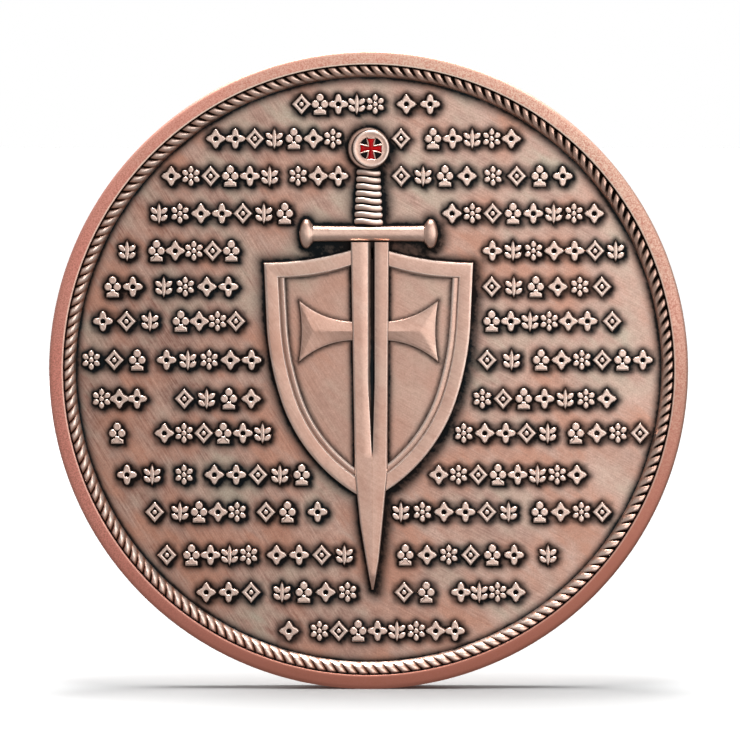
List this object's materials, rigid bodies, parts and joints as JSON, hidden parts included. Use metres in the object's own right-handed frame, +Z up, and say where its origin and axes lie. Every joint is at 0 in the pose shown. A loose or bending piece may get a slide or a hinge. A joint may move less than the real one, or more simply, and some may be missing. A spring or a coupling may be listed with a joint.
{
  "type": "challenge coin",
  "caption": "Round struck medal in antique copper: a sword over a heater shield, a rope border, an enamelled cross on the pommel and rows of raised ornament.",
  "frame": {"origin": "centre of the coin, on its axis and midway between its two faces", "axes": "+Y along the coin's axis, out of the reverse face; -Y out of the obverse face; +Z up the standing design, towards the pommel; +X to the viewer's right when looking at the obverse"},
  "size_m": [0.0444, 0.0036, 0.0444],
  "materials": {
    "struck_blank": "antique copper plate, polished on the high points and dark in the recesses",
    "border_relief": "antique copper plate, polished on the high points and dark in the recesses",
    "shield_field": "antique copper plate, satin with fine brushing",
    "shield_relief": "antique copper plate, satin with fine brushing",
    "sword_relief": "antique copper plate, polished on the high points and dark in the recesses",
    "ornament_relief": "antique copper plate, polished on the high points and dark in the recesses",
    "red_enamel": "soft enamel, glossy and slightly domed"
  },
  "bodies": {
    "root": {"coin_blank": "struck_blank", "rope_border_obverse": "border_relief", "rope_border_reverse": "border_relief", "panel_ring_reverse": "border_relief", "shield_plate": "shield_field", "shield_frame": "shield_relief", "shield_ledge": "shield_relief", "shield_cross": "shield_relief", "sword_blade": "sword_relief", "sword_guard": "sword_relief", "guard_knobs": "sword_relief", "sword_grip": "sword_relief", "grip_wraps": "sword_relief", "sword_pommel": "sword_relief", "pommel_enamel": "red_enamel", "ornament_row_01": "ornament_relief", "ornament_row_02": "ornament_relief", "ornament_row_03": "ornament_relief", "ornament_row_04": "ornament_relief", "ornament_row_05": "ornament_relief", "ornament_row_06": "ornament_relief", "ornament_row_07": "ornament_relief", "ornament_row_08": "ornament_relief", "ornament_row_09": "ornament_relief", "ornament_row_10": "ornament_relief", "ornament_row_11": "ornament_relief", "ornament_row_12": "ornament_relief", "ornament_row_13": "ornament_relief", "ornament_row_14": "ornament_relief", "ornament_row_15": "ornament_relief"}
  },
  "joints": []
}
